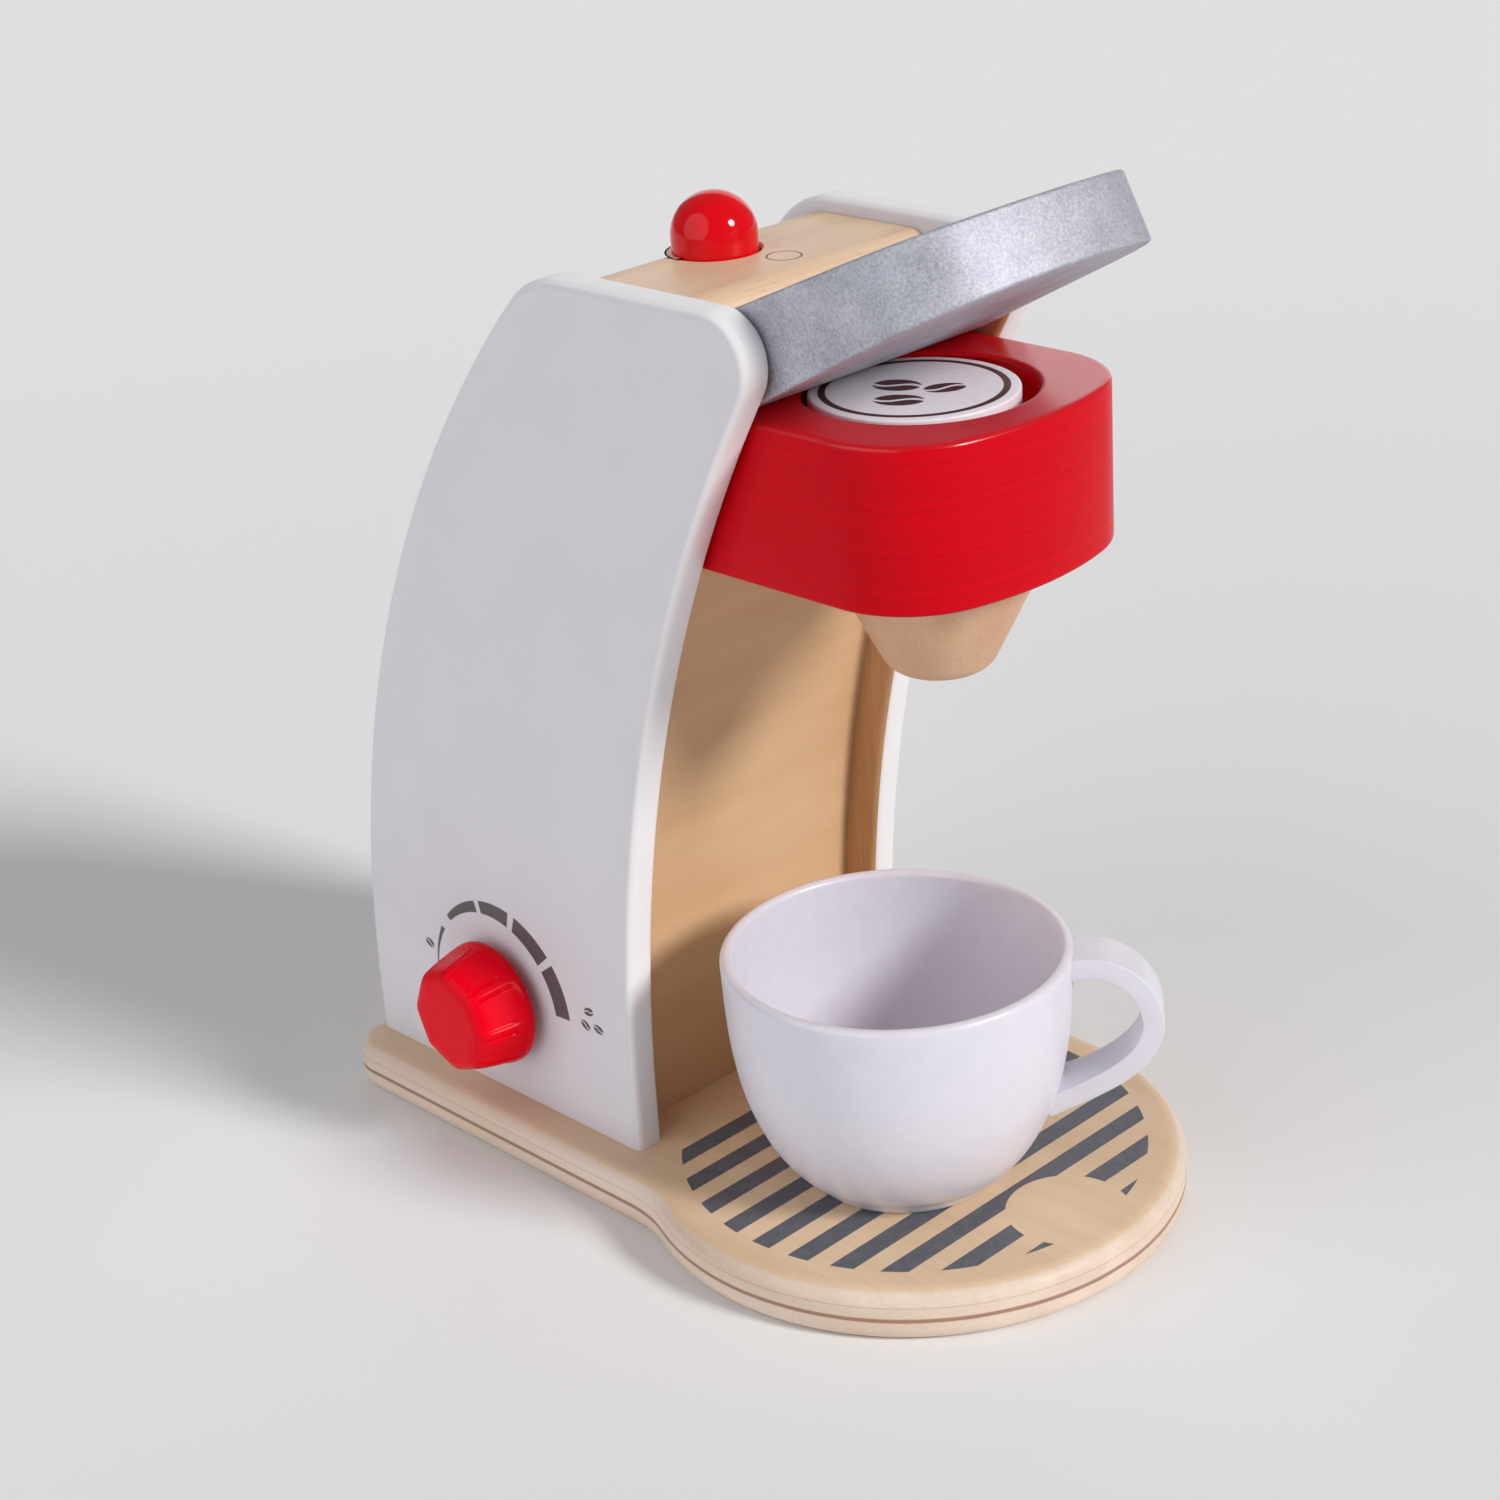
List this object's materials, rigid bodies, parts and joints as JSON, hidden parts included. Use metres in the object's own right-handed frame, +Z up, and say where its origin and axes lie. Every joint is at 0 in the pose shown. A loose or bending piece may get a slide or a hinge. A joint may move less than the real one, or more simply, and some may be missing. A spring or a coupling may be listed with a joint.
{
  "type": "toy coffee maker",
  "caption": "Wooden play coffee maker with curved side panels, hinged lid over a pad recess, spout, side dial knob, push button and a cup on its round tray.",
  "frame": {"origin": "centre of the base board's length and width, on the surface it stands on", "axes": "+Z up; -Y to the front, where the round tray and the cup are; +X to the right seen from the front"},
  "size_m": [0.11, 0.182, 0.2117],
  "materials": {
    "white_paint": "satin white paint",
    "plywood": "clear-coated birch plywood",
    "beech": "clear-coated beech",
    "red_paint": "gloss red paint",
    "knob_red": "satin red paint",
    "button_red": "high-gloss red paint",
    "silver_paint": "silver metallic paint",
    "cup_plastic": "semi-gloss white plastic",
    "pad_white": "white paint with a printed ring",
    "steel": "bright steel",
    "zinc_screw": "zinc-plated steel"
  },
  "bodies": {
    "housing": {"base_board": "plywood", "side_panel_left": "white_paint", "side_panel_right": "white_paint", "front_board": "plywood", "back_board": "plywood", "top_block": "beech", "brew_head": "red_paint", "spout": "beech", "spout_dowel": "beech", "head_dowel_left": "beech", "head_dowel_right": "beech", "block_dowel_left": "beech", "block_dowel_right": "beech", "base_screw_1": "zinc_screw", "base_screw_2": "zinc_screw", "base_screw_3": "zinc_screw", "base_screw_4": "zinc_screw", "lid_pin_left": "steel", "lid_pin_right": "steel", "knob_spacer": "beech", "button_spring": "steel", "coffee_pad": "pad_white"},
    "lid": {"lid": "silver_paint"},
    "dial": {"knob": "knob_red", "knob_spindle": "beech", "spindle_collar": "beech", "spindle_screw": "zinc_screw"},
    "push_button": {"button": "button_red", "button_collar": "beech", "button_screw": "zinc_screw"},
    "cup": {"cup": "cup_plastic"}
  },
  "joints": [
    {"name": "lid_hinge", "type": "hinge", "parent": "housing", "child": "lid", "pos_m": [0, -0.02949, 0.1811], "axis": [-1, 0, 0], "range_deg": [-28, 62]},
    {"name": "dial_turn", "type": "hinge", "parent": "housing", "child": "dial", "pos_m": [-0.045, 0.0435, 0.0337], "axis": [-1, 0, 0], "continuous": true},
    {"name": "button_press", "type": "slide", "parent": "housing", "child": "push_button", "axis": [0, 0, -1], "range_m": [0, 0.0045], "stiffness_N_per_m": 400, "springref_m": -0.003, "deforming": ["button_spring"]},
    {"name": "cup_slide", "type": "slide", "parent": "housing", "child": "cup", "axis": [0, -1, 0], "range_m": [0, 0.12]}
  ]
}
